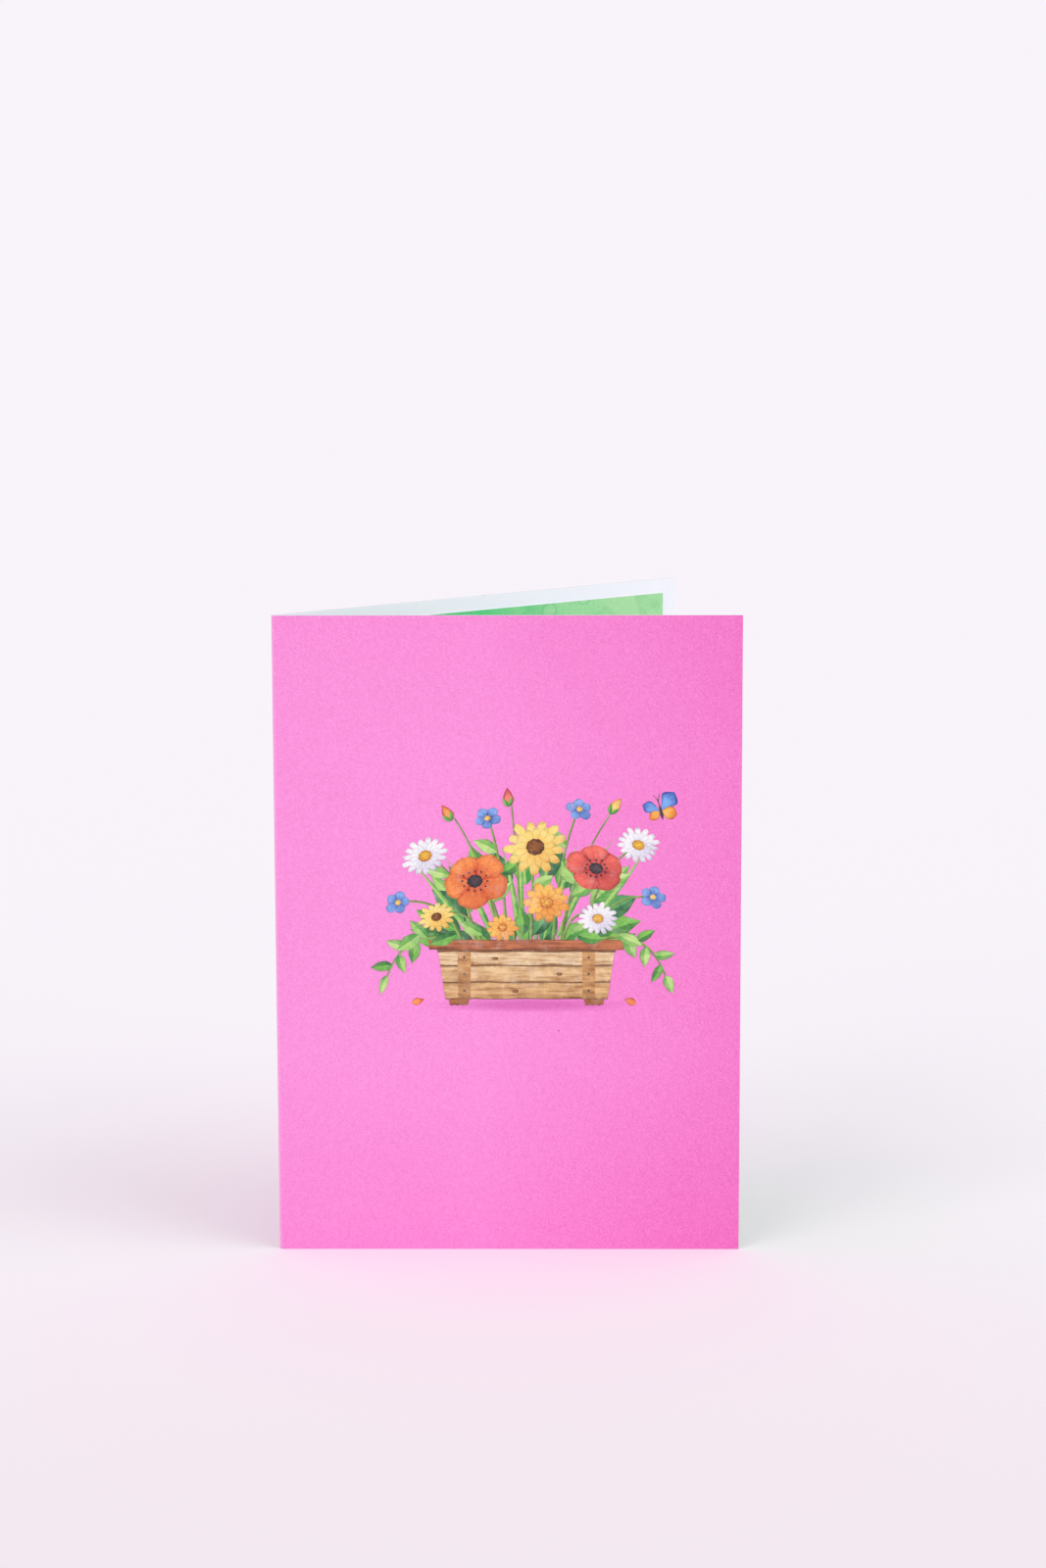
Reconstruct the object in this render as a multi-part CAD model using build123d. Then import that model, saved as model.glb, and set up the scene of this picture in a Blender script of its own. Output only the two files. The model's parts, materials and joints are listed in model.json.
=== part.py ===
"""Greeting card: one sheet of card, scored and folded, with a paper panel glued inside.

The card stands open on its lower edges, as it does on a shelf. The front panel faces -Y, the
fold is at -X and runs up +Z, and the back panel turns away from the front by the opening angle.
The origin is on the standing surface, under the middle of the card's box. Millimetres and degrees.
"""

import math
import os

from build123d import *

# Folded sheet
panel_width = 127.0  # from the outside of the fold to a free edge
panel_height = 177.8
board_thickness = 0.45
fold_inner_radius = 0.25  # inside of the scored crease
opening_angle = 30.0  # between the front panel and the back panel

# Panel glued inside the back
inside_panel_thickness = 0.25
inside_panel_margin = 4.0  # bare card left round the panel, from the fold's outside and the cut edges

# Directions in plan, from the fold along each panel and out of the card's outer faces
opening = math.radians(opening_angle)
along_front = Vector(1, 0)
out_of_front = Vector(0, -1)
along_back = Vector(math.cos(opening), math.sin(opening))
out_of_back = Vector(-math.sin(opening), math.cos(opening))

# The bend joins two straight panels, and its centre lies between them
fold_outer_radius = fold_inner_radius + board_thickness
flat_width = panel_width - fold_outer_radius
card_depth = fold_outer_radius + fold_outer_radius * out_of_back.Y + flat_width * along_back.Y
fold_centre = Vector(fold_outer_radius - panel_width / 2, fold_outer_radius - card_depth / 2)


def panel_face(radius, outward, along):
    """Start and end of one face of a panel in plan, where radius is the bend's on that side."""
    start = fold_centre + outward * radius
    return start, start + along * flat_width


def folded_cover():
    """The whole sheet: in plan two straight panels round one bend, cut square at both ends."""
    front_outside = panel_face(fold_outer_radius, out_of_front, along_front)
    front_inside = panel_face(fold_inner_radius, out_of_front, along_front)
    back_outside = panel_face(fold_outer_radius, out_of_back, along_back)
    back_inside = panel_face(fold_inner_radius, out_of_back, along_back)
    towards_spine = -(along_front + along_back).normalized()
    spine_outside = fold_centre + towards_spine * fold_outer_radius
    spine_inside = fold_centre + towards_spine * fold_inner_radius
    with BuildPart() as sheet:
        with BuildSketch():
            with BuildLine():
                Line(front_outside[1], front_outside[0])
                ThreePointArc(front_outside[0], spine_outside, back_outside[0])
                Line(back_outside[0], back_outside[1])
                Line(back_outside[1], back_inside[1])
                Line(back_inside[1], back_inside[0])
                ThreePointArc(back_inside[0], spine_inside, front_inside[0])
                Line(front_inside[0], front_inside[1])
                Line(front_inside[1], front_outside[1])
            make_face()
        extrude(amount=panel_height)
    return sheet.part


def inside_panel():
    """A thinner sheet, face to face with the inside of the back panel, inset by its margin."""
    fold_side = inside_panel_margin - fold_outer_radius
    free_side = flat_width - inside_panel_margin
    back_inside = panel_face(fold_inner_radius, out_of_back, along_back)
    glued_face = Plane(origin=back_inside[0], x_dir=along_back, z_dir=-out_of_back)
    with BuildPart() as panel:
        with BuildSketch(glued_face):
            with Locations(((fold_side + free_side) / 2, panel_height / 2)):
                Rectangle(free_side - fold_side, panel_height - 2 * inside_panel_margin)
        extrude(amount=inside_panel_thickness)
    return panel.part


os.makedirs("parts", exist_ok=True)
export_step(folded_cover(), "parts/folded_cover.step")
export_step(inside_panel(), "parts/inside_panel.step")
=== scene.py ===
# %% [markdown]
# # A greeting card that stands open
#
# The card is one sheet of board, scored and folded once, with a sheet of green paper glued inside its
# back. The outside is printed pink, with a small picture of flowers in a wooden trough on the front.
# The solids already fix every size and place. This lesson dresses them: the folded sheet and the green
# panel are made again as meshes that carry print, bare board and cut edge side by side, and the picture
# is laid on the front as flat shapes of ink.

import json
import math
from types import SimpleNamespace

import bpy
import numpy as np
from mathutils import Matrix, Vector


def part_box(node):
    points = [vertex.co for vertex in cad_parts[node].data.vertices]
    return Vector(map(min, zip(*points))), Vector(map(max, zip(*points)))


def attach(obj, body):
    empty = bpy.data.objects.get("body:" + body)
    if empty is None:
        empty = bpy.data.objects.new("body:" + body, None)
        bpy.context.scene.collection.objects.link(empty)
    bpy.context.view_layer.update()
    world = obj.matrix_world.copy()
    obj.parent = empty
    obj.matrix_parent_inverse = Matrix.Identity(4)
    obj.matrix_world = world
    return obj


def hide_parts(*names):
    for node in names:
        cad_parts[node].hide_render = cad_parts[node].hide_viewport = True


MM = 0.001
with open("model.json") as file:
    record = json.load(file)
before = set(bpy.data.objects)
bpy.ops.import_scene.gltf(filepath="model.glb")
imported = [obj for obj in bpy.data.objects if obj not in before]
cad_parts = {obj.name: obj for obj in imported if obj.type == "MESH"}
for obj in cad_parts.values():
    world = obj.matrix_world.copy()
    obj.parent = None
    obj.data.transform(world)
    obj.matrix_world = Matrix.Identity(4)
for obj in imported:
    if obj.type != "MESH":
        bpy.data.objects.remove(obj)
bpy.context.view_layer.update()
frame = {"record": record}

# %% [markdown]
# ## Measuring the folded sheet
#
# Seen from above, the sheet is two straight panels joined by a small bend. Everything follows from the
# solid's box, the direction that the back faces, and two sizes of the board: its thickness and the
# radius inside the crease. A point of the sheet is a foot on the line through the middle of the bend,
# plus an outward direction times a radius, so the same path serves the outside and the inside.

# %% Measure the sheet
cover_low, cover_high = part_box("folded_cover")
panel_width = cover_high.x - cover_low.x
panel_height = cover_high.z - cover_low.z
panel_middle = (cover_low.x + cover_high.x) / 2
mounts = {mount["name"]: mount for mount in frame["record"]["mounts"]}

board_thickness = 0.45 * MM
fold_inner_radius = 0.25 * MM
fold_outer_radius = fold_inner_radius + board_thickness
flat_width = panel_width - fold_outer_radius
fold_centre = np.array([cover_low.x, cover_low.y]) + fold_outer_radius

along_front = np.array([1.0, 0.0])
out_of_front = np.array([0.0, -1.0])
out_of_back = np.array(mounts["back_face"]["axis"][:2])
along_back = np.array([out_of_back[1], -out_of_back[0]])
opening = math.atan2(along_back[1], along_back[0])
print("panel %.1f x %.1f mm" % (panel_width / MM, panel_height / MM))
print("opened %.1f degrees" % math.degrees(opening))

# %% [markdown]
# ## Thin solids from two grids
#
# Board, paper and ink are all thin solids, so one function closes them all. It takes a grid of points
# for the face and another for the back, turns the back's squares round so that they point outwards, and
# walls up the border. A Solidify modifier would do much the same, but here each wall can have a material
# of its own, which is what shows the white core of the board along its cut edges.


# %% Close two grids into a thin solid
def slab(face, back, ring=False):
    """Points, squares and sides (0 face, 1 back, 2 wall) of two grids joined along their border.

    Columns crossed with rows give the face's outward direction. A ring's last column meets its first, and
    its first row, a small round of an even number of points, is closed by slices from side to side.
    """
    rows, columns = face.shape[:2]
    count = rows * columns
    number = np.arange(count).reshape(rows, columns)
    slices = np.empty((0, 4), dtype=int)
    border = np.concatenate([number[0], number[1:, -1], number[-1, -2::-1], number[-2::-1, 0]])
    if ring:
        near, far = number[0].reshape(2, -1)
        far = far[::-1]
        slices = np.stack([near[1:], near[:-1], far[:-1], far[1:]], axis=-1)
        number = np.concatenate([number, number[:, :1]], axis=1)
        border = number[-1, ::-1]
    squares = np.stack([number[:-1, :-1], number[:-1, 1:], number[1:, 1:], number[1:, :-1]], axis=-1)
    squares = np.concatenate([squares.reshape(-1, 4), slices])
    walls = np.stack([border[:-1], border[:-1] + count, border[1:] + count, border[1:]], axis=-1)
    faces = np.concatenate([squares, squares[:, ::-1] + count, walls])
    sides = np.repeat([0, 1, 2], [len(squares), len(squares), len(faces) - 2 * len(squares)])
    return np.concatenate([face.reshape(-1, 3), back.reshape(-1, 3)]), faces, sides


def add_piece(name, points, faces, uv, materials, sides=None, colours=None):
    """A new mesh object from arrays: a UV and any named colours per point, and a material per square."""
    mesh = bpy.data.meshes.new(name)
    mesh.from_pydata(points.tolist(), [], faces.tolist())
    corner = np.empty(len(mesh.loops), dtype=np.int32)
    mesh.loops.foreach_get("vertex_index", corner)
    mesh.uv_layers.new(name="surface").data.foreach_set("uv", uv[corner].astype(np.float32).ravel())
    for label, values in (colours or {}).items():
        with_alpha = np.concatenate([values, np.ones((len(values), 1))], axis=1).astype(np.float32)
        mesh.attributes.new(label, "FLOAT_COLOR", "POINT").data.foreach_set("color", with_alpha.ravel())
    for material in materials:
        mesh.materials.append(material)
    if sides is not None:
        mesh.polygons.foreach_set("material_index", sides.astype(np.int32))
    mesh.update()
    piece = bpy.data.objects.new(name, mesh)
    bpy.context.scene.collection.objects.link(piece)
    print("%s: %d points, %d faces" % (name, len(points), len(faces)))
    return piece


# %% [markdown]
# ## Nodes and colours
#
# Every finish below is a small graph of shader nodes. One function adds a node, sets its properties and
# fills its inputs, by name or in order, either with a value or with another node's output. In order, a
# Map Range takes its value, two limits and the two levels that they map to, and a Multiply Add takes
# a value, a factor and what is added. Colours are written as sRGB hex, as one would read them off a
# print, and turned to linear light, which the shader works in. Patterns are sized in millimetres: a noise
# of scale S has spots about 1 / S metres wide.


# %% Node and colour helpers
def node(tree, kind, inputs=(), out=0, **settings):
    """Adds a shader node with its settings, links or sets its inputs, and gives back one of its outputs."""
    made = tree.nodes.new("ShaderNode" + kind)
    for name, value in settings.items():
        setattr(made, name, value)
    pairs = inputs.items() if isinstance(inputs, dict) else enumerate(inputs)
    for key, value in pairs:
        if isinstance(value, bpy.types.NodeSocket):
            tree.links.new(value, made.inputs[key])
        else:
            made.inputs[key].default_value = value
    return made.outputs[out]


def linear(hex_code):
    """Linear RGB of an sRGB hex colour: c / 12.92 when dark, else ((c + 0.055) / 1.055) to the power 2.4."""
    srgb = np.array([int(hex_code[i:i + 2], 16) for i in (1, 3, 5)]) / 255
    return np.where(srgb <= 0.04045, srgb / 12.92, ((srgb + 0.055) / 1.055) ** 2.4)


def rgba(hex_code):
    """The same colour as a shader socket takes it."""
    return (*linear(hex_code).tolist(), 1.0)


def per(size_mm):
    """Noise scale whose spots are about this many millimetres wide."""
    return 1 / (size_mm * MM)


def new_material(name, roughness):
    """A dielectric of IOR 1.5, such as paper, ink or paint, whose base colour the caller links."""
    material = bpy.data.materials.new(name)
    material.use_nodes = True
    shader = material.node_tree.nodes["Principled BSDF"]
    shader.inputs["Roughness"].default_value = roughness
    shader.inputs["IOR"].default_value = 1.5
    return material, material.node_tree, shader.inputs


print("pink in linear light:", np.round(linear("#FB95DD"), 3))

# %% [markdown]
# ## Pink printed card
#
# The outside is solid pink ink under a matt varnish, on a board of about 360 g. Painted shade deepens the
# pink towards the free edge, the foot and the head of each panel, and leaves the fold's side paler as if lit
# more. Up close it isn't quite even either: it mottles over the fibres in fine specks, drawn here a third
# of a millimetre wide so that they show.
# Over the fold's curve the pink is painted paler, a painted highlight where the bend meets the light. Noise
# does the mottle, and ramps along X and Z do the rest. The shade under the trough in the picture is printed
# here too, since only the card's own ink can fade into itself.

# %% Make the pink print
# The picture's middle, in millimetres from the panel's middle and foot, and the trough's reach below it
picture_middle = np.array([5.0, 99.0])
trough_low = -27.6
trough_foot = 1.7


def pink_printed_card():
    """Mottled pink ink with painted shade across each panel and a painted highlight over the fold, then the
    picture's soft shade and one fleck of dirt on the front.
    """
    material, tree, shader = new_material("pink_printed_card", roughness=0.52)
    place = node(tree, "TexCoord", out="Object")
    x = node(tree, "SeparateXYZ", [place], out="X")
    z = node(tree, "SeparateXYZ", [place], out="Z")

    # Painted shade: the pink deepens towards the free edge, the foot and the head, leaving the fold's side
    # paler as if lit more
    painted_shade_from_x = -8 * MM
    painted_shade_foot_until_z = 55 * MM
    painted_shade_head_from_z = 140 * MM
    painted_shade_free_edge = node(tree, "MapRange", [x, painted_shade_from_x, cover_high.x, 0.0, 0.6])
    painted_shade_foot = node(tree, "MapRange", [z, 0.0, painted_shade_foot_until_z, 0.32, 0.0])
    painted_shade_head = node(tree, "MapRange", [z, painted_shade_head_from_z, panel_height, 0.0, 0.16])
    painted_shade_and_mottle = node(tree, "Math", [painted_shade_free_edge, painted_shade_foot], operation="ADD")
    painted_shade_and_mottle = node(tree, "Math", [painted_shade_and_mottle, painted_shade_head], operation="ADD")
    drift = node(tree, "TexNoise", {"Vector": place, "Scale": per(35), "Detail": 1.0})
    painted_shade_and_mottle = node(tree, "Math", [drift, 0.2, painted_shade_and_mottle], operation="MULTIPLY_ADD")
    mottle = node(tree, "TexNoise", {"Vector": place, "Scale": per(0.36), "Detail": 1.0})
    speck = node(tree, "MapRange", [mottle, 0.2, 0.8, -0.34, 0.34])
    painted_shade_and_mottle = node(tree, "Math", [painted_shade_and_mottle, speck], operation="ADD")
    lit_and_shaded_pinks = {0: painted_shade_and_mottle, 6: rgba("#FB95DD"), 7: rgba("#F070C3")}
    ink = node(tree, "Mix", lit_and_shaded_pinks, 2, data_type="RGBA", clamp_factor=False)

    # Painted highlight: the pink pales over the fold's curve, where the bend meets the light
    fold_strip = 0.9 * MM
    painted_fold_highlight = node(tree, "MapRange", [x, cover_low.x, cover_low.x + fold_strip, 0.5, 0.0])

    shade_x = panel_middle + (picture_middle[0] + 1.0) * MM
    shade_middle = (shade_x, cover_low.y, (picture_middle[1] + trough_low - trough_foot) * MM)
    shade_reach = (29 * MM, 10 * MM, 2.3 * MM)
    away = node(tree, "VectorMath", [place, shade_middle], operation="SUBTRACT")
    away = node(tree, "VectorMath", [away, shade_reach], operation="DIVIDE")
    away = node(tree, "VectorMath", [away], out="Value", operation="LENGTH")
    shade = node(tree, "MapRange", [away, 0.35, 1.0, 0.65, 0.0])

    fleck_place = (13.8 * MM, cover_low.y, 62.4 * MM)
    fleck_core = 0.15 * MM
    fleck_edge = 0.32 * MM
    away = node(tree, "VectorMath", [place, fleck_place], out="Value", operation="DISTANCE")
    fleck = node(tree, "MapRange", [away, fleck_core, fleck_edge, 0.7, 0.0])

    for share, tint in ((painted_fold_highlight, "#FFC4EE"), (shade, "#CF52A8"), (fleck, "#9A4A86")):
        ink = node(tree, "Mix", {0: share, 6: ink, 7: rgba(tint)}, 2, data_type="RGBA")
    level = node(tree, "MapRange", [mottle, 0.2, 0.8, 1.052, 0.952])
    ink = node(tree, "HueSaturation", {"Color": ink, "Value": level})
    tree.links.new(ink, shader["Base Color"])
    tooth = node(tree, "Bump", {"Height": mottle, "Strength": 0.12, "Distance": 0.02 * MM})
    tree.links.new(tooth, shader["Normal"])
    return material


pink_card = pink_printed_card()
print("nodes in the pink print:", len(pink_card.node_tree.nodes))

# %% [markdown]
# ## Bare board and its cut edge
#
# The inside is the board's own white. Papermakers brighten it with a dye that makes it read a little blue.
# Its fibres lie in soft clouds a few millimetres wide. The guillotined edge shows the same fibres end on,
# rougher and warmer, in fine streaks, and greyer than the face: partly its own tone, partly painted shade.
# One small grey smudge is left on the back's upper edge.


# %% Make the bare board and the cut edge
def bare_board():
    """Brightened white board with faint clouds of fibre."""
    material, tree, shader = new_material("bare_white_board", roughness=0.7)
    place = node(tree, "TexCoord", out="Object")
    cloud = node(tree, "TexNoise", {"Vector": place, "Scale": per(4), "Detail": 3.0})
    white = node(tree, "Mix", {0: cloud, 6: rgba("#F3F5FF"), 7: rgba("#F9F9FF")}, 2, data_type="RGBA")
    tree.links.new(white, shader["Base Color"])
    fibre = node(tree, "TexNoise", {"Vector": place, "Scale": per(0.4), "Detail": 3.0})
    tooth = node(tree, "Bump", {"Height": fibre, "Strength": 0.15, "Distance": 0.02 * MM})
    tree.links.new(tooth, shader["Normal"])
    return material


def cut_edge():
    """The board's cut edge, greyer than its face partly by its own tone and partly as painted shade, with
    the smudge found by its distance along the back.
    """
    material, tree, shader = new_material("knife_cut_board_edge", roughness=0.8)
    place = node(tree, "TexCoord", out="Object")
    streak = node(tree, "TexNoise", {"Vector": place, "Scale": per(0.25), "Detail": 2.0})
    # The edge's grey is partly its own tone and partly painted shade along the edge
    edge_tone_and_shade = node(tree, "Mix", {0: streak, 6: rgba("#DFDCDE"), 7: rgba("#F0EEEF")}, 2, data_type="RGBA")
    smudge_reach = 64.7 * MM
    smudge_core = 0.35 * MM
    smudge_edge = 0.7 * MM
    smudge_plan = fold_centre + smudge_reach * along_back + fold_inner_radius * out_of_back
    smudge_place = (*smudge_plan, panel_height)
    away = node(tree, "VectorMath", [place, smudge_place], out="Value", operation="DISTANCE")
    smudge = node(tree, "MapRange", [away, smudge_core, smudge_edge, 0.6, 0.0])
    edge_tone_and_shade = node(tree, "Mix", {0: smudge, 6: edge_tone_and_shade, 7: rgba("#8A8790")}, 2, data_type="RGBA")
    tree.links.new(edge_tone_and_shade, shader["Base Color"])
    return material


white_board = bare_board()
board_edge = cut_edge()
print("board finishes:", white_board.name, board_edge.name)

# %% [markdown]
# ## The folded sheet
#
# The path runs from the back's free edge to the fold, round it, and along the front to its free edge, so
# that columns crossed with height point outwards. Each panel needs few columns, because it is flat, and
# the bend has enough to look round. A fine bevel takes the sharpness off the cut edges, as a knife does.

# %% Make the folded sheet
columns_per_panel = 10
columns_in_fold = 17
rows_in_height = 12

reach = np.linspace(0, flat_width, columns_per_panel)
turn = np.linspace(opening + math.pi / 2, 3 * math.pi / 2, columns_in_fold)[1:-1]
foot = np.concatenate([
    fold_centre + reach[::-1, None] * along_back,
    np.tile(fold_centre, (len(turn), 1)),
    fold_centre + reach[:, None] * along_front,
])
outward = np.concatenate([
    np.tile(out_of_back, (len(reach), 1)),
    np.stack([np.cos(turn), np.sin(turn)], axis=1),
    np.tile(out_of_front, (len(reach), 1)),
])


def upright(plan, heights):
    """Grid of points that stand over a plan line, one row for each height."""
    grid = np.empty((len(heights), len(plan), 3))
    grid[..., :2] = plan
    grid[..., 2] = heights[:, None]
    return grid


def real_size_uv(distances, heights):
    """UV of both faces of such a grid, in metres along the sheet and up it."""
    one_face = np.stack(np.broadcast_arrays(distances[None, :], heights[:, None]), axis=-1).reshape(-1, 2)
    return np.tile(one_face, (2, 1))


heights = np.linspace(0, panel_height, rows_in_height)
outside_plan = foot + fold_outer_radius * outward
inside_plan = foot + fold_inner_radius * outward
steps = np.linalg.norm(np.diff(outside_plan, axis=0), axis=1)
distances = np.concatenate([[0], np.cumsum(steps)])
points, faces, sides = slab(upright(outside_plan, heights), upright(inside_plan, heights))
sheet_uv = real_size_uv(distances, heights)
card_sheet = add_piece("card_sheet", points, faces, sheet_uv, [pink_card, white_board, board_edge], sides)
card_sheet.data.shade_smooth()
card_sheet.data.set_sharp_from_angle(angle=math.radians(30))

knife_edge = card_sheet.modifiers.new("knife_edge", "BEVEL")
knife_edge.width = 0.05 * MM
knife_edge.segments = 2
knife_edge.angle_limit = math.radians(40)
knife_edge.harden_normals = True

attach(card_sheet, "root")
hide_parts("folded_cover")
print("sheet length over its outside %.1f mm" % (distances[-1] / MM))

# %% [markdown]
# ## Green washed paper
#
# The panel inside is printed with a loose wash: strong emerald high up near the fold, thinning to pale
# green at the free edge and to a faint tint at the foot. Washes dry unevenly, so there are pools, dark along
# their rim, and blooms, where a drop of water has pushed the colour out into a ring. The thinner the wash,
# the fainter they are, so the fade to the foot comes last. The pattern follows the panel's own UV map, in
# metres along the panel and up it. Noise bends the distance from each drop, so no ring is perfect.


# %% Make the green wash
def green_washed_paper(drops):
    """Emerald to pale green along and down the panel, with rimmed pools and a ring for each water drop."""
    material, tree, shader = new_material("green_washed_paper", roughness=0.62)
    uv = node(tree, "UVMap", uv_map="surface")
    u = node(tree, "SeparateXYZ", [uv], out="X")
    v = node(tree, "SeparateXYZ", [uv], out="Y")

    emerald_until = 54 * MM
    pale_from = 110 * MM
    wash = node(tree, "TexNoise", {"Vector": uv, "Scale": per(14), "Detail": 4.0, "Distortion": 0.5})
    thin = node(tree, "MapRange", [u, emerald_until, pale_from, -0.4, 0.6])
    pale = node(tree, "Math", [wash, 0.8, thin], operation="MULTIPLY_ADD")
    green = node(tree, "Mix", {0: pale, 6: rgba("#3ED07F"), 7: rgba("#A9E2A4")}, 2, data_type="RGBA")

    pool = node(tree, "TexNoise", {"Vector": uv, "Scale": per(19), "Detail": 2.0, "Distortion": 0.6})
    tide_at = 0.52
    tide_start = tide_at - 0.02
    tide_end = tide_at + 0.13
    outside = node(tree, "MapRange", [pool, tide_start, tide_at, 0.0, 1.0])
    inside = node(tree, "MapRange", [pool, tide_at, tide_end, 0.2, 0.0])
    tide = node(tree, "Math", [outside, inside], operation="MULTIPLY")
    laid_over = [(tide, "#4DB470")]

    ragged = node(tree, "TexNoise", {"Vector": uv, "Scale": per(2.2), "Detail": 3.0})
    rim_at = 1.35
    for along, height, radius in drops:
        drop = (along * MM, height * MM, 0)
        away = node(tree, "VectorMath", [uv, drop], out="Value", operation="DISTANCE")
        radii = node(tree, "Math", [away, per(radius)], operation="MULTIPLY")
        radii = node(tree, "Math", [ragged, 0.7, radii], operation="MULTIPLY_ADD")
        washed_out = node(tree, "MapRange", [radii, 0.5, rim_at, 0.5, 0.0])
        rim = node(tree, "Math", [radii, rim_at], operation="SUBTRACT")
        rim = node(tree, "Math", [rim], operation="ABSOLUTE")
        rim = node(tree, "MapRange", [rim, 0.0, 0.2, 0.36, 0.0])
        laid_over += [(washed_out, "#A9E2AC"), (rim, "#55B073")]

    faint_below = 15 * MM
    full_above = 155 * MM
    low_down = node(tree, "MapRange", [v, faint_below, full_above, 0.76, 0.0])
    for share, tint in [*laid_over, (low_down, "#DCF3D6")]:
        green = node(tree, "Mix", {0: share, 6: green, 7: rgba(tint)}, 2, data_type="RGBA")
    grain = node(tree, "TexNoise", {"Vector": uv, "Scale": per(0.8), "Detail": 2.0})
    level = node(tree, "MapRange", [grain, 0.3, 0.7, 0.95, 1.05])
    green = node(tree, "HueSaturation", {"Color": green, "Value": level})
    tree.links.new(green, shader["Base Color"])
    return material


# Distance from the fold, height and radius of each drop, in millimetres
water_drops = [
    (85.4, 171.6, 2.3), (96.5, 175.0, 2.2), (38, 150, 3.4), (70, 121, 4.2), (104, 92, 3.0), (52, 74, 2.6),
    (88, 44, 4.6), (30, 27, 3.2), (112, 21, 2.4),
]
green_paper = green_washed_paper(water_drops)
print("drops in the wash:", len(water_drops))

# %% [markdown]
# ## The panel inside
#
# The panel is a flat rectangle against the inside of the back, with bare board left all round. Its box
# gives its height, and its place along the back comes from the box's lowest and highest X. The edge of
# printed paper is white, so the walls take the same finish as the board's own cut edge.

# %% Make the panel inside
panel_low, panel_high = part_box("inside_panel")
panel_thickness = 0.25 * MM
panel_columns = 8
panel_rows = 10
glued_foot = fold_centre + fold_inner_radius * out_of_back
shown_foot = glued_foot - panel_thickness * out_of_back
panel_ends = np.array([panel_low.x - glued_foot[0], panel_high.x - shown_foot[0]]) / along_back[0]
panel_reach = np.linspace(*panel_ends, panel_columns)
panel_heights = np.linspace(panel_low.z, panel_high.z, panel_rows)

points, faces, sides = slab(
    upright(shown_foot + panel_reach[:, None] * along_back, panel_heights),
    upright(glued_foot + panel_reach[:, None] * along_back, panel_heights),
)
panel_uv = real_size_uv(panel_reach, panel_heights)
panel_finishes = [green_paper, white_board, board_edge]
green_panel = add_piece("green_panel", points, faces, panel_uv, panel_finishes, sides)
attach(green_panel, "root")
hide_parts("inside_panel")
print("panel from %.2f to %.2f mm along the back" % (panel_reach[0] / MM, panel_reach[-1] / MM))

# %% [markdown]
# ## Shapes of ink
#
# The picture on the front is built as a painter builds it, leaf by leaf and petal by petal. A shape is a
# grid of points in millimetres, right of and above the middle of the picture. It also has a UV map, u
# across and v along, and two colours, a light wash and a deep one, that its ink moves between.

# %% Blades and strokes
columns_across = 7
rows_in_blade = 15
rows_in_stroke = 17


def shape(ink, points, u, v, washes, shade=0.0, ring=False):
    """One flat shape: its ink, points, UV and two washes. The light wash is deepened by the shade."""
    light, deep = (linear(code) for code in washes)
    mixed = light + np.broadcast_to(shade, points.shape[:2])[..., None] * (deep - light)
    deep = np.broadcast_to(deep, mixed.shape)
    uv = np.stack(np.broadcast_arrays(u, v), axis=-1)
    return {"ink": ink, "points": points, "uv": uv, "light": mixed, "deep": deep, "ring": ring}


def swept(line, half_width):
    """Points beside a line: the line plus u times the half-width towards its right, for u from -1 to 1."""
    heading = np.gradient(line, axis=0)
    heading /= np.linalg.norm(heading, axis=1, keepdims=True)
    right = np.stack([heading[:, 1], -heading[:, 0]], axis=1)
    u = np.linspace(-1, 1, columns_across)
    return line[:, None] + (half_width[:, None] * u)[..., None] * right[:, None], u[None, :]


def towards(degrees):
    """A step of length 1 in each direction, in degrees anticlockwise from the right."""
    return np.stack([np.cos(np.radians(degrees)), np.sin(np.radians(degrees))], axis=-1)


def blade(ink, root, heading, length, width, bend, washes, fullness=0.8):
    """A leaf, bud or wing on a midrib whose heading turns evenly by `bend` degrees from root to tip.

    The half-width is width / 2 times sin(pi v^fullness), with a slight waver. It is widest near the root
    where the fullness is under 1, and near the tip where it is over 1.
    """
    v = np.linspace(0, 1, rows_in_blade)
    step = towards(heading + bend * (v - 0.5)) * length / (len(v) - 1)
    midrib = np.asarray(root) + np.cumsum(step, axis=0) - step[0]
    waver = 1 + 0.06 * np.sin(11 * v + length)
    blunt_tip = 0.05
    points, u = swept(midrib, np.maximum(width / 2 * np.sin(np.pi * v**fullness) * waver, blunt_tip))
    return shape(ink, points, u, v[:, None], washes)


def bezier(start, control, end, t):
    """Point of the curve (1-t)^2 start + 2t(1-t) control + t^2 end."""
    return (1 - t) ** 2 * np.asarray(start) + 2 * t * (1 - t) * np.asarray(control) + t**2 * np.asarray(end)


def stroke(start, control, end, width, washes):
    """A brush line along such a curve, thinning by half towards its end."""
    t = np.linspace(0, 1, rows_in_stroke)[:, None]
    points, u = swept(bezier(start, control, end, t), width / 2 * (1 - 0.5 * t[:, 0]))
    return shape("stem", points, u, t, washes)


test_leaf = blade("leaf", (0, 0), 90, 8, 4, 20, ("#9ED66A", "#3E9A3F"))
print("a leaf is a grid of", test_leaf["points"].shape[:2], "points")

# %% [markdown]
# ## Flower heads and boards
#
# A flower seen from the front is a ring of petals. Petals could be painted one by one, but in a small
# print they run together, so a whole ring is one grid: the angle gives the petal, and the edge's distance
# from the middle rises and falls with it. A sawn board is a four-cornered patch with wavering edges.

# %% Flower heads and boards
columns_per_petal = 10
rows_in_head = 7
columns_in_board = 25
rows_in_board = 5


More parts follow.
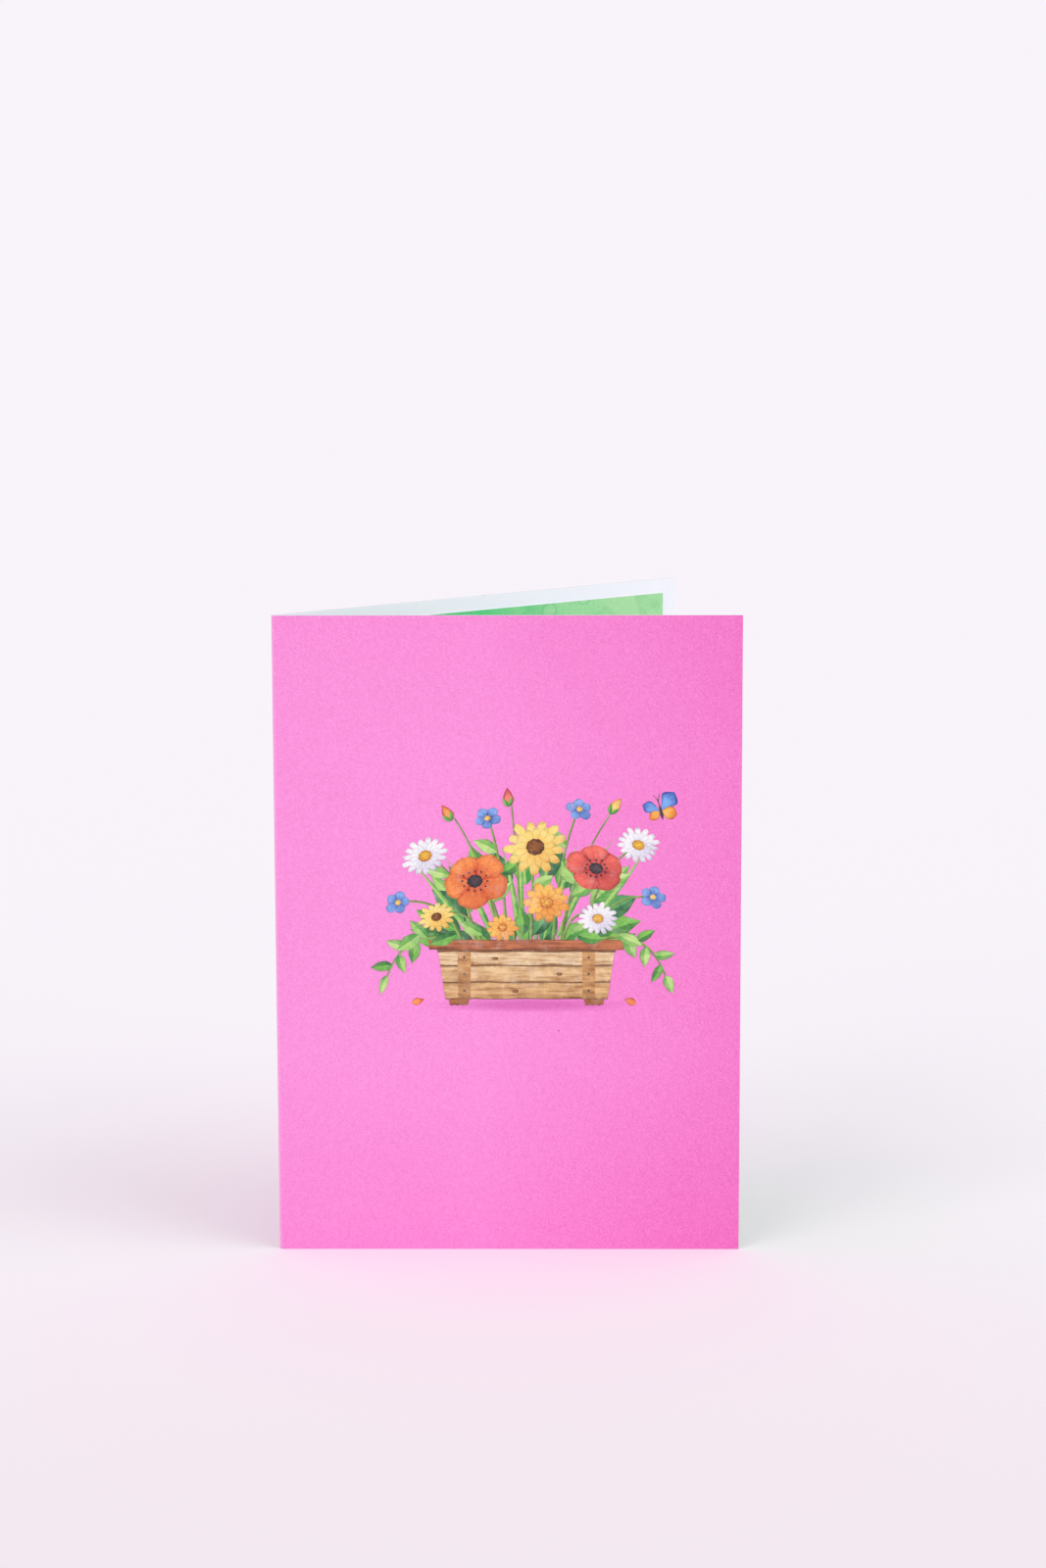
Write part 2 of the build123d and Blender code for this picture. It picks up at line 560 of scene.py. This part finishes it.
def flower_head(ink, middle, radius, petals, notch, roundness, squash, turn, lengths, washes):
    """A ring of petals, round at its heart, which is squashed, then turned, and shaded down and right.

    Its edge lies at (1 - notch) times the radius between petals, and at the petal's own length times the
    radius along its middle. In between it follows 1 - across^roundness, a little crinkled.
    """
    phase = np.linspace(0, petals, petals * columns_per_petal, endpoint=False)
    petal = phase.astype(int)
    across = np.abs(2 * (phase - petal) - 1)
    crinkle = 1 + 0.015 * np.sin(4 * math.pi * phase + 2.4 * petal)
    edge = radius * crinkle * ((1 - notch) + (lengths[petal] - 1 + notch) * (1 - across**roundness))
    angle = -2 * math.pi * phase / petals
    outness = np.linspace(0, 1, rows_in_head)[:, None]
    innermost = 0.05
    v = innermost + (1 - innermost) * outness
    reach = v * (outness * edge + (1 - outness) * (1 - notch) * radius)
    flat = np.stack([reach * np.cos(angle), squash * reach * np.sin(angle)], axis=-1)
    turned = flat @ towards([turn, turn + 90])
    shaded_side = np.array([0.35, -0.5])
    shade = np.clip(turned @ shaded_side / radius, 0, 1)
    return shape(ink, np.asarray(middle) + turned, across[None, :], v, washes, shade, ring=True)


def board(low_left, low_right, high_left, high_right, washes, ripple=0.1):
    """A sawn board: four corners blended both ways, its long edges waved a little by a sine."""
    u = np.linspace(-1, 1, columns_in_board)[None, :, None]
    v = np.linspace(-1, 1, rows_in_board)[:, None, None]
    low = np.asarray(low_left) * (1 - u) / 2 + np.asarray(low_right) * (1 + u) / 2
    high = np.asarray(high_left) * (1 - u) / 2 + np.asarray(high_right) * (1 + u) / 2
    points = low * (1 - v) / 2 + high * (1 + v) / 2
    points = points + ripple * np.sin(9 * u + 2 * v + low_left[1]) * np.array([0.0, 1.0])
    return shape("timber", points, u[..., 0], v[..., 0], washes)


test_head = flower_head("petal", (0, 0), 8, 5, 0.2, 2.5, 0.9, 0, np.ones(5), ("#FF7A3D", "#C62A1E"))
print("a flower head is a grid of", test_head["points"].shape[:2], "points")

# %% [markdown]
# ## Composing the picture
#
# A low trough of planks stands in the middle, and flowers rise out of it in a fan. The order matters, as
# with opaque paint: what is listed later lies on top. First come the leaves at the back, then stems, the
# trough, what trails over its ends, and the flowers from the back to the front. A seeded generator makes
# the small differences between one leaf or petal and the next.

# %% Leaves at the back
chance = np.random.default_rng(11)
greens = [("#B4E07C", "#3C9A40"), ("#86CC58", "#256F3A"), ("#CBEA92", "#62AE47"), ("#62B068", "#174F36")]
stem_green = ("#9CC765", "#56682F")
trough_top = -11.0
picture = []


def vary(value, spread):
    """The value, off by up to this much either way."""
    return value + chance.uniform(-spread, spread)


def add_leaf(root, heading, length, tone):
    """A leaf whose width, length and bend differ a little from its neighbours'."""
    width = vary(0.47, 0.07) * length
    grown = vary(length, 0.08 * length)
    picture.append(blade("leaf", root, heading, grown, width, vary(0, 28), greens[tone]))


for step, heading in enumerate(np.linspace(10, 170, 15)):
    spread = towards(heading) * [1.3, 1]
    start = np.array([0.0, trough_top - 3]) + spread * vary(14 + 5 * spread[1], 2)
    add_leaf(start, vary(heading, 12), vary(13.5, 1.5), (3, 1, 3, 0)[step % 4])
for step, heading in enumerate(np.linspace(165, 15, 9)):
    add_leaf((vary(-20 + 5 * step, 1), trough_top - 1), vary(heading, 10), vary(9.5, 1.5), (1, 3)[step % 2])
for heading in np.linspace(52, 128, 9):
    root = (vary((90 - heading) * 0.32, 2), trough_top)
    picture.append(blade("leaf", root, heading, vary(29, 6), 1.6, vary(0, 24), greens[0], fullness=0.6))
print("leaves at the back:", len(picture))

# %% [markdown]
# ## Flowers and their stems
#
# Each flower has a kind, a middle, a size, a lean, and how far it is turned from the viewer. Its kind gives
# the petals' count and form and the colours of petals and heart. A stem starts in the trough, closer
# to the middle than its flower, and the taller ones carry a pair of leaves. Buds stand on thin stems.

# %% Stems and buds
dark_heart = ("#5B4A52", "#241C26")

# Count, notch and roundness of a kind's petals, then their washes and those of its heart
flower_kinds = {
    "poppy": ((5, 0.2, 2.6), ("#FF9A52", "#C4261B"), dark_heart),
    "red_poppy": ((5, 0.18, 2.4), ("#FB7465", "#A0182A"), dark_heart),
    "sunny": ((13, 0.42, 3.0), ("#FFEB8A", "#EC9418"), ("#A8662C", "#4F2C16")),
    "daisy": ((15, 0.46, 3.4), ("#FFFFFF", "#B9B2D6"), ("#FAD24E", "#CF7F1E")),
    "marigold": ((11, 0.3, 2.2), ("#FFCB66", "#DC5A15"), ("#FFD667", "#C9581A")),
    "blue": ((5, 0.34, 2.2), ("#8DB7F7", "#1E3494"), ("#FFE88A", "#E3A530")),
}
flowers = [
    ("blue", (-10.5, 23.0), 3.9, 20, 0.8), ("blue", (14.5, 25.5), 3.7, -15, 0.85),
    ("daisy", (-27.5, 12.5), 6.6, 25, 0.8), ("daisy", (30.5, 15.5), 6.0, -20, 0.78),
    ("sunny", (2.5, 15.0), 8.6, 5, 0.92), ("red_poppy", (19.0, 9.0), 8.2, -18, 0.82),
    ("blue", (-35.0, -0.5), 3.6, 40, 0.9), ("blue", (34.5, 1.0), 3.7, -35, 0.85),
    ("poppy", (-14.0, 5.5), 9.2, 15, 0.85), ("sunny", (-24.5, -4.5), 5.0, 20, 0.8),
    ("marigold", (5.5, -0.5), 6.4, 0, 0.88), ("daisy", (19.5, -5.0), 5.4, -10, 0.85),
    ("marigold", (-6.5, -7.5), 4.4, 10, 0.85),
]
buds = [
    ((-19.5, 23.0), ("#FFB057", "#C93A1F")),
    ((23.5, 25.0), ("#FFE27A", "#E08A1C")),
    ((-4.0, 27.0), ("#FB8E80", "#B3242E")),
]

for _, middle, _, _, _ in flowers:
    root = np.array([0.5 * middle[0], trough_top - 1.0])
    control = np.array([0.62 * middle[0], 0.5 * middle[1] + 2.0])
    picture.append(stroke(root, control, middle, 0.9, stem_green))
    if middle[1] > 5:
        for t, side in ((0.45, 1), (0.62, -1)):
            heading = vary(90 - 50 * side - 0.6 * middle[0], 12)
            add_leaf(bezier(root, control, middle, t), heading, vary(8.0, 1.2), int(chance.integers(0, 3)))
for tip, washes in buds:
    root = (0.4 * tip[0], trough_top)
    control = (0.5 * tip[0], 8.0)
    picture.append(stroke(root, control, tip, 0.7, stem_green))
    heading = math.degrees(math.atan2(tip[1] - control[1], tip[0] - control[0]))
    picture.append(blade("wing", np.array(tip) - 0.6, heading, 5.0, 2.9, 0, washes, fullness=0.7))
    for side in (-25, 25):
        picture.append(blade("leaf", np.array(tip) - 0.8, heading + side, 3.0, 1.1, -side, greens[1]))
print("with stems and buds:", len(picture))

# %% [markdown]
# ## The trough
#
# Three sawn planks lie over a dark back, which shows as a line between them. Two nailed battens, two feet
# and a few knots follow, and then a rim that overhangs and throws a thin shade on the top plank. Boards
# that lie over one another give those dark lines for nothing, with no line drawn anywhere.

# %% Trough
half_top = 24.5
half_low = 22.2
half_rim = half_top + 2.0
rim_low = trough_top - 2.7
plank_gap = 0.16
batten_x = 17.0
foot_x = 18.5
dark_wood = ("#8A5A36", "#55321C")
nail = ("#7A6A66", "#3A2E2C")


def level_board(low, high, middle, half_below, half_above, washes, ripple=0.1):
    """A board between two heights about a middle, which may widen upwards."""
    picture.append(board((middle - half_below, low), (middle + half_below, low), (middle - half_above, high),
                         (middle + half_above, high), washes, ripple))


def dot(middle, radius, squash, washes):
    """A small spot, such as a knot, a nail or a stamen: three petals too shallow to see."""
    picture.append(flower_head("heart", middle, radius, 3, 0.06, 2.0, squash, 0, np.ones(3), washes))


level_board(trough_low, trough_top, 0, half_low, half_top, dark_wood, ripple=0.05)
levels = np.linspace(rim_low + 0.2, trough_low, 4)
halves = np.interp(levels, [trough_low, trough_top], [half_low, half_top])
plank_washes = [("#F6DBAF", "#B27A43"), ("#EFCB96", "#A8703C"), ("#E7BC84", "#9C6434")]
for top, low, above, below, washes in zip(levels, levels[1:], halves, halves[1:], plank_washes):
    level_board(low + plank_gap, top - plank_gap, 0, below, above, washes)
for knot in ((-8.5, -16.2), (9.0, -20.6), (-3.0, -25.4)):
    dot(knot, 0.85, 0.55, ("#B9814C", "#6B3F20"))
for side in (-1, 1):
    level_board(trough_low - 0.1, trough_top - 2, batten_x * side, 1.7, 1.8, ("#DBA76C", "#8E5630"))
    level_board(trough_low - trough_foot, trough_low, foot_x * side, 2.4, 2.8, ("#AF6E45", "#5F321D"))
    for height in (levels[:-1] + levels[1:]) / 2:
        dot((batten_x * side, height), 0.34, 1.0, nail)
level_board(rim_low - 0.7, rim_low + 0.2, 0, half_top - 0.3, half_top, dark_wood)
level_board(rim_low, trough_top, 0, half_rim, half_rim + 0.3, ("#CB7C52", "#7C3926"))
print("with the trough:", len(picture))

# %% [markdown]
# ## Vines and flower heads
#
# A vine trails over each end of the trough, with leaves to either side in turn, and a few low leaves hide
# where stems meet the rim. The flower heads come next, each with a heart. Those of many petals get a second,
# smaller ring turned by half a petal, as daisies do, and the dark-hearted ones get a ring of stamens.

# %% Trailing vines and low leaves
leaf_angle = 55
for side in (-1, 1):
    start, control, end = np.array([[20.0, -10.8], [33.0, -7.5], [38.0, -21.0]]) * [side, 1]
    picture.append(stroke(start, control, end, 0.8, stem_green))
    for step, t in enumerate((0.3, 0.45, 0.6, 0.74, 0.88, 1.0)):
        along = 2 * (1 - t) * (control - start) + 2 * t * (end - control)
        heading = math.degrees(math.atan2(along[1], along[0]))
        sideways = 0 if t == 1.0 else (leaf_angle if step % 2 else -leaf_angle)
        add_leaf(bezier(start, control, end, t), heading + sideways, 6.6 - 1.2 * t, step % 3)
low_leaves = [
    (-19, 200, 1), (-12, 150, 0), (-1, 95, 1), (2, 60, 3),
    (12, 25, 0), (14, -10, 1), (25, -25, 2), (-29, 215, 0),
]
for root_x, heading, tone in low_leaves:
    add_leaf((root_x, trough_top + 1.5), heading, 8.0, tone)
print("with vines:", len(picture))

# %% Flower heads
heart_form = (9, 0.08, 1.0)
stamens = 12
for kind, middle, radius, lean, squash in flowers:
    form, petal, heart = flower_kinds[kind]
    count = form[0]
    lengths = chance.uniform(0.88, 1.06, count)
    picture.append(flower_head("petal", middle, radius, *form, squash, lean, lengths, petal))
    if count > 5:
        between = lean + 180 / count
        picture.append(flower_head("petal", middle, 0.74 * radius, *form, squash, between, lengths, petal))
    heart_radius = radius * (0.3 if count > 5 else 0.24)
    even = np.ones(heart_form[0])
    picture.append(flower_head("heart", middle, heart_radius, *heart_form, squash, lean, even, heart))
    if heart == dark_heart:
        for angle in np.linspace(0, 360, stamens, endpoint=False):
            around = towards(angle) * [1, squash] * vary(0.36, 0.03) * radius
            dot(np.array(middle) + around, 0.3, 1.0, heart)
print("with flower heads:", len(picture))

# %% [markdown]
# ## A butterfly and two fallen petals
#
# The wings are blades that are widest towards their tips, turned about the body. The far pair is narrower,
# because the butterfly is seen at a slant.

# %% Butterfly and petals
perch = np.array([36.5, 25.0])
tilt = 12
body_tilt = 92 + tilt
wing_washes = [("#7FB2F5", "#233FA6"), ("#FFC25A", "#D9651C")]
for heading, length, width, fullness, washes in (
    (150, 5.2, 3.4, 1.5, wing_washes[0]), (206, 3.8, 2.8, 1.3, wing_washes[1]),
    (42, 6.4, 4.8, 1.5, wing_washes[0]), (-24, 4.6, 3.9, 1.3, wing_washes[1]),
):
    picture.append(blade("wing", perch, heading + tilt, length, width, 0, washes, fullness))
body_run = towards(body_tilt)
picture.append(blade("stem", perch - 2.6 * body_run, body_tilt, 5.0, 0.95, 6, dark_heart))
head = perch + 2.2 * body_run
for side in (-22, 22):
    feeler = head + 2.6 * towards(body_tilt + side)
    picture.append(stroke(head, head + 1.4 * body_run, feeler, 0.3, dark_heart))
for fallen, heading in (((-31.5, -28.6), 15), ((30.0, -29.0), 160)):
    picture.append(blade("wing", fallen, heading, 3.6, 2.0, 20, ("#FF9A52", "#C4261B")))
print("shapes in the picture:", len(picture))

# %% [markdown]
# ## Laying the shapes on the card
#
# Printed ink has next to no thickness, but two shapes in one plane would flicker. So each shape is a
# closed flat island that starts just under the card's face and ends a few thousandths of a millimetre
# above whatever ink it covers. A coarse height map of the picture keeps count of the layers.

# %% Stack the shapes
ink_step = 0.004 * MM
ink_root = 0.003 * MM

# Width of the map's cells, and how far it reaches from the picture's middle, in millimetres
cell = 0.4
map_reach = 60.0
cells_across = int(2 * map_reach / cell)
layers = np.zeros((cells_across, cells_across), dtype=int)


def finer(grid, times=4):
    """The grid with straight-line values added between its rows and between its columns."""
    share = np.linspace(0, 1, times, endpoint=False)[None, :, None, None]
    for axis in (0, 1):
        lines = np.moveaxis(grid, axis, 0)
        between = lines[:-1, None] * (1 - share) + lines[1:, None] * share
        lines = np.concatenate([between.reshape(-1, *lines.shape[1:]), lines[-1:]])
        grid = np.moveaxis(lines, 0, axis)
    return grid


def next_layer(item):
    """One more than the highest layer under the shape, which the map then holds there."""
    grid = item["points"]
    if item["ring"]:
        grid = np.concatenate([grid, grid[:, :1]], axis=1)
    index = ((finer(grid).reshape(-1, 2) + map_reach) / cell).astype(int)
    beside = np.stack(np.meshgrid([-1, 0, 1], [-1, 0, 1]), axis=-1)
    columns, rows = (index[:, None, None] + beside).reshape(-1, 2).T
    layer = layers[rows, columns].max() + 1
    layers[rows, columns] = layer
    return layer


for item in picture:
    item["rise"] = next_layer(item) * ink_step
print("layers of ink: %d, %.3f mm in all" % (layers.max(), layers.max() * ink_step / MM))

# %% [markdown]
# ## Watercolour inks
#
# All the inks share what watercolour does as it dries: pigment gathers in a darker line along parts of
# the rim of each shape, settles in the hollows of the paper as fine grain, and drifts in soft clouds,
# with paler places where the brush lifted. They differ in what moves the colour from the light wash to
# the deep one: halves and veins in a leaf, streaks from the heart in a petal, grain in timber, one shaded
# side on a stem, stipple in a flower's heart, and a dark border on a wing. A shape's deep wash also moves
# its place in the noise, so that a cloud stops at the shape's edge instead of running on into the next.


# %% What the inks share
def start_ink(name):
    """A matt ink with the shape's u and v, its place in the noise, and a soft cloud about 2.5 mm wide."""
    material, tree, shader = new_material(name, roughness=0.52)
    uv = node(tree, "UVMap", uv_map="surface")
    u = node(tree, "SeparateXYZ", [uv], out="X")
    v = node(tree, "SeparateXYZ", [uv], out="Y")
    place = node(tree, "TexCoord", out="Object")
    deep = node(tree, "Attribute", out="Vector", attribute_name="deep")
    # Metres in the noise for a whole unit of colour
    noise_shift = 0.1
    place = node(tree, "VectorMath", [deep, [noise_shift] * 3, place], operation="MULTIPLY_ADD")
    cloud = node(tree, "TexNoise", {"Vector": place, "Scale": per(2.5), "Detail": 3.0, "Distortion": 0.6})
    return SimpleNamespace(material=material, tree=tree, shader=shader, u=u, v=v, place=place, cloud=cloud)


def finish_ink(ink, terms, offset, rim):
    """Depth is the sum of the terms, each a value times its weight, less the offset.

    It takes the light wash to the deep one. Then come lifted places, the dark rim and the paper's grain.
    """
    depth = -offset
    for value, weight in terms:
        depth = node(ink.tree, "Math", [value, weight, depth], operation="MULTIPLY_ADD")
    light = node(ink.tree, "Attribute", attribute_name="light")
    deep = node(ink.tree, "Attribute", attribute_name="deep")
    colour = node(ink.tree, "Mix", {0: depth, 6: light, 7: deep}, 2, data_type="RGBA")

    lift = node(ink.tree, "TexNoise", {"Vector": ink.place, "Scale": per(3.4), "Detail": 2.0})
    lifted = node(ink.tree, "MapRange", [lift, 0.54, 0.74, 0.0, 0.14])
    colour = node(ink.tree, "Mix", {0: lifted, 6: colour, 7: rgba("#FFF6F2")}, 2, data_type="RGBA")

    broken = node(ink.tree, "MapRange", [ink.cloud, 0.35, 0.6, -0.1, -0.5])
    grain = node(ink.tree, "TexNoise", {"Vector": ink.place, "Scale": per(0.5), "Detail": 2.0})
    level = node(ink.tree, "MapRange", [grain, 0.3, 0.7, 0.92, 1.06])
    level = node(ink.tree, "Math", [rim, broken, level], operation="MULTIPLY_ADD")
    colour = node(ink.tree, "HueSaturation", {"Color": colour, "Value": level})
    ink.tree.links.new(colour, ink.shader["Base Color"])
    return ink.material


print("lifted places, rim and grain are common to all inks")

# %% [markdown]
# ## Leaf and petal inks
#
# A painted leaf is two strokes that meet along a midrib left pale, and a petal is one stroke pulled out
# from the heart. Both follow the shape's own UV map, so that veins and streaks bend with it. Side veins are
# a sine of v that lags as it leaves the midrib, which slants them towards the tip.


# %% Leaf and petal inks
def leaf_ink():
    """One half deeper than the other, a pale midrib, and side veins that slant towards the tip."""
    ink = start_ink("watercolour_leaf")
    width = node(ink.tree, "Math", [ink.u], operation="ABSOLUTE")
    uneven = node(ink.tree, "Math", [ink.cloud, 0.9, ink.u], operation="MULTIPLY_ADD")
    half = node(ink.tree, "MapRange", [uneven, 0.35, 0.6, 0.0, 1.0])
    slant = node(ink.tree, "Math", [ink.v, 40.0], operation="MULTIPLY")
    slant = node(ink.tree, "Math", [width, -11.0, slant], operation="MULTIPLY_ADD")
    wave = node(ink.tree, "Math", [slant], operation="SINE")
    veins = node(ink.tree, "MapRange", [wave, 0.7, 1.0, 0.0, 1.0])
    midrib = node(ink.tree, "MapRange", [width, 0.06, 0.16, 1.0, 0.0])
    low_end = node(ink.tree, "MapRange", [ink.v, 0.0, 0.5, 1.0, 0.0])
    rim = node(ink.tree, "MapRange", [width, 0.76, 1.0, 0.0, 1.0])
    terms = [(half, 0.5), (ink.cloud, 1.0), (low_end, 0.35), (veins, -0.16), (midrib, -0.4)]
    return finish_ink(ink, terms, 0.32, rim)


def petal_ink():
    """Deep at the heart and between petals, paler outwards, in streaks that run with the petal."""
    ink = start_ink("watercolour_petal")
    drift = node(ink.tree, "Math", [ink.u, 0.6, ink.cloud], operation="MULTIPLY_ADD")
    lines = node(ink.tree, "CombineXYZ", [drift, ink.v, ink.cloud])
    lines = node(ink.tree, "Mapping", {"Vector": lines, "Scale": (6.0, 0.9, 3.0)})
    streak = node(ink.tree, "TexNoise", {"Vector": lines, "Scale": 2.0, "Detail": 2.0})
    low_end = node(ink.tree, "MapRange", [ink.v, 0.2, 0.85, 1.0, 0.0])
    between = node(ink.tree, "MapRange", [ink.u, 0.7, 1.0, 0.0, 1.0])
    rim = node(ink.tree, "MapRange", [ink.v, 0.88, 1.0, 0.0, 0.7])
    terms = [(low_end, 0.55), (between, 0.5), (streak, 1.2), (ink.cloud, 0.9)]
    return finish_ink(ink, terms, 0.92, rim)


inks = {"leaf": leaf_ink(), "petal": petal_ink()}
print("inks:", list(inks))

# %% [markdown]
# ## The other inks
#
# Timber takes its grain from a noise drawn out tenfold along the boards, which is how sawn softwood looks
# from its face. A stem is only a shaded side, a flower's heart is stippled with the cells of a Voronoi
# pattern, and a wing darkens towards its border and tip. Each could be a copy of one big graph with many
# switches, but a short function per ink is easier to read and to change.


# %% Timber, stem, heart and wing inks
def timber_ink():
    """Long streaks of grain, with a darker lower edge."""
    ink = start_ink("watercolour_timber")
    stretched = node(ink.tree, "Mapping", {"Vector": ink.place, "Scale": (0.1, 1.0, 1.0)})
    look = {"Vector": stretched, "Scale": per(0.8), "Detail": 4.0, "Distortion": 0.4}
    grain = node(ink.tree, "TexNoise", look)
    edge = node(ink.tree, "Math", [ink.v], operation="ABSOLUTE")
    shade = node(ink.tree, "MapRange", [ink.v, -1.0, -0.2, 1.0, 0.0])
    rim = node(ink.tree, "MapRange", [edge, 0.8, 1.0, 0.0, 1.0])
    return finish_ink(ink, [(grain, 2.2), (ink.cloud, 1.0), (shade, 0.25)], 1.3, rim)


def stem_ink():
    """Light on the left, deep on the right."""
    ink = start_ink("watercolour_stem")
    rim = node(ink.tree, "MapRange", [ink.u, 0.4, 1.0, 0.0, 0.5])
    return finish_ink(ink, [(ink.u, 0.35), (ink.cloud, 1.2)], 0.1, rim)


def heart_ink():
    """Stippled with dots about 0.6 mm apart, and deeper towards the rim."""
    ink = start_ink("watercolour_heart")
    stipple = node(ink.tree, "TexVoronoi", {"Vector": ink.place, "Scale": per(0.6)})
    rim = node(ink.tree, "MapRange", [ink.v, 0.75, 1.0, 0.0, 1.0])
    return finish_ink(ink, [(stipple, 0.9), (ink.v, 0.6), (ink.cloud, 0.5)], 0.55, rim)


def wing_ink():
    """Pale near the root, with a deep border."""
    ink = start_ink("watercolour_wing")
    width = node(ink.tree, "Math", [ink.u], operation="ABSOLUTE")
    border = node(ink.tree, "MapRange", [width, 0.5, 0.95, 0.0, 1.0])
    tip = node(ink.tree, "MapRange", [ink.v, 0.55, 0.95, 0.0, 1.0])
    rim = node(ink.tree, "MapRange", [width, 0.75, 1.0, 0.0, 1.0])
    return finish_ink(ink, [(border, 0.6), (tip, 0.7), (ink.cloud, 1.0)], 0.35, rim)


inks.update(timber=timber_ink(), stem=stem_ink(), heart=heart_ink(), wing=wing_ink())
print("inks:", list(inks))

# %% [markdown]
# ## Printing
#
# Shapes of one ink become one piece. The picture's middle lies right of the panel's middle and a little
# above it, and everything else follows from the height of each shape's layer.


# %% Print the picture
def on_card(points, rise):
    """Picture millimetres to metres on the front, this far proud of the face."""
    grid = np.empty((*points.shape[:2], 3))
    grid[..., 0] = panel_middle + (picture_middle[0] + points[..., 0]) * MM
    grid[..., 1] = cover_low.y - rise
    grid[..., 2] = (picture_middle[1] + points[..., 1]) * MM
    return grid


def print_piece(name, ink):
    """Every shape of one ink as closed islands in a single mesh."""
    parts = {"points": [], "faces": [], "uv": [], "light": [], "deep": []}
    count = 0
    for item in picture:
        if item["ink"] != ink:
            continue
        face = on_card(item["points"], item["rise"])
        points, faces, _ = slab(face, on_card(item["points"], -ink_root), item["ring"])
        parts["points"].append(points)
        parts["faces"].append(faces + count)
        for key in ("uv", "light", "deep"):
            one_face = item[key].reshape(-1, item[key].shape[-1])
            parts[key].append(np.tile(one_face, (2, 1)))
        count += len(points)
    joined = {key: np.concatenate(value) for key, value in parts.items()}
    washes = {"light": joined["light"], "deep": joined["deep"]}
    piece = add_piece(name, joined["points"], joined["faces"], joined["uv"], [inks[ink]], colours=washes)
    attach(piece, "root")


for piece_name, ink_name in {
    "printed_leaves": "leaf", "printed_stems": "stem", "printed_trough": "timber", "printed_petals": "petal",
    "printed_hearts": "heart", "printed_wings": "wing",
}.items():
    print_piece(piece_name, ink_name)

# %% [markdown]
# ## Floor
#
# A pale floor runs to the horizon behind the card. It is one large square. It has no gloss, because even a
# dull gloss mirrors the horizon at a low angle, which would grey its far part. Its colour pales along Y: it
# is darker in front of the card, which is painted shade, and paler behind it, so that the white inside of
# the card is seen against something lighter.

# %% Floor
floor_size = 40.0
pales_from_y = -0.25
palest_at_y = 0.1
floor_mesh = bpy.data.meshes.new("floor")
floor_corners = np.array([[-1, -1, 0], [1, -1, 0], [1, 1, 0], [-1, 1, 0]]) * floor_size / 2
floor_mesh.from_pydata(floor_corners.tolist(), [], [[0, 1, 2, 3]])
floor = bpy.data.objects.new("floor", floor_mesh)
bpy.context.scene.collection.objects.link(floor)
floor_paint, tree, floor_shader = new_material("pale_floor", roughness=0.9)
floor_y = node(tree, "SeparateXYZ", [node(tree, "TexCoord", out="Object")], out="Y")
# Painted shade: the floor is darker in front of the card and pales behind it
behind = node(tree, "MapRange", [floor_y, pales_from_y, palest_at_y])
floor_tone = node(tree, "Mix", {0: behind, 6: rgba("#F8F0F5"), 7: rgba("#FEFAFF")}, 2, data_type="RGBA")
tree.links.new(floor_tone, floor_shader["Base Color"])
floor_shader["Specular IOR Level"].default_value = 0.0
floor_mesh.materials.append(floor_paint)
print("floor %.0f m square" % floor_size)

# %% [markdown]
# ## Light
#
# Soft studio light: a broad key comes from the front on the left, a broader fill from the right, and pale
# surroundings do most of the work. Shadows stay soft, and colours come out about as they are written, which
# a single strong lamp wouldn't allow. Both lamps are distant ones, because a lamp close by would light one
# side of the card and the near floor more than the rest.

# %% Light
world = bpy.data.worlds.new("studio")
world.use_nodes = True
surround = world.node_tree.nodes["Background"].inputs
surround["Color"].default_value = rgba("#FAF9FB")
surround["Strength"].default_value = 0.74
bpy.context.scene.world = world


def add_lamp(name, place, energy, spread):
    """A broad distant lamp that shines from a place in metres, this many degrees wide."""
    data = bpy.data.lights.new(name, "SUN")
    data.energy = energy
    data.angle = math.radians(spread)
    lamp = bpy.data.objects.new(name, data)
    lamp.location = place
    lamp.rotation_euler = Vector(place).to_track_quat("Z", "Y").to_euler()
    bpy.context.scene.collection.objects.link(lamp)


add_lamp("key", (-0.72, -0.85, 0.8), 0.64, spread=40)
add_lamp("side_fill", (1.0, -0.45, 0.58), 0.84, spread=56)
print("surroundings at", round(surround["Strength"].default_value, 2))

# %% [markdown]
# ## Camera
#
# A long lens stands about a metre and a quarter in front of the card and looks a little down on it, so
# that the back shows over the front's upper edge. Its place and three small turns are set directly: yaw
# about the vertical, then pitch, then roll about its own line of sight.

# %% Camera
camera_place = (17.75 * MM, -1246.38 * MM, 382.15 * MM)
camera_pitch = math.radians(11.665)
camera_yaw = math.radians(0.64)
camera_roll = math.radians(0.156)

camera_data = bpy.data.cameras.new("camera")
camera_data.sensor_width = 36.0
camera_data.lens = 105.0
camera = bpy.data.objects.new("camera", camera_data)
bpy.context.scene.collection.objects.link(camera)
camera.matrix_world = (
    Matrix.Translation(camera_place)
    @ Matrix.Rotation(camera_yaw, 4, "Z")
    @ Matrix.Rotation(math.pi / 2 - camera_pitch, 4, "X")
    @ Matrix.Rotation(-camera_roll, 4, "Z")
)
bpy.context.scene.camera = camera
bpy.context.scene.view_settings.view_transform = "Standard"
print("camera %.2f m from the card" % camera.location.length)
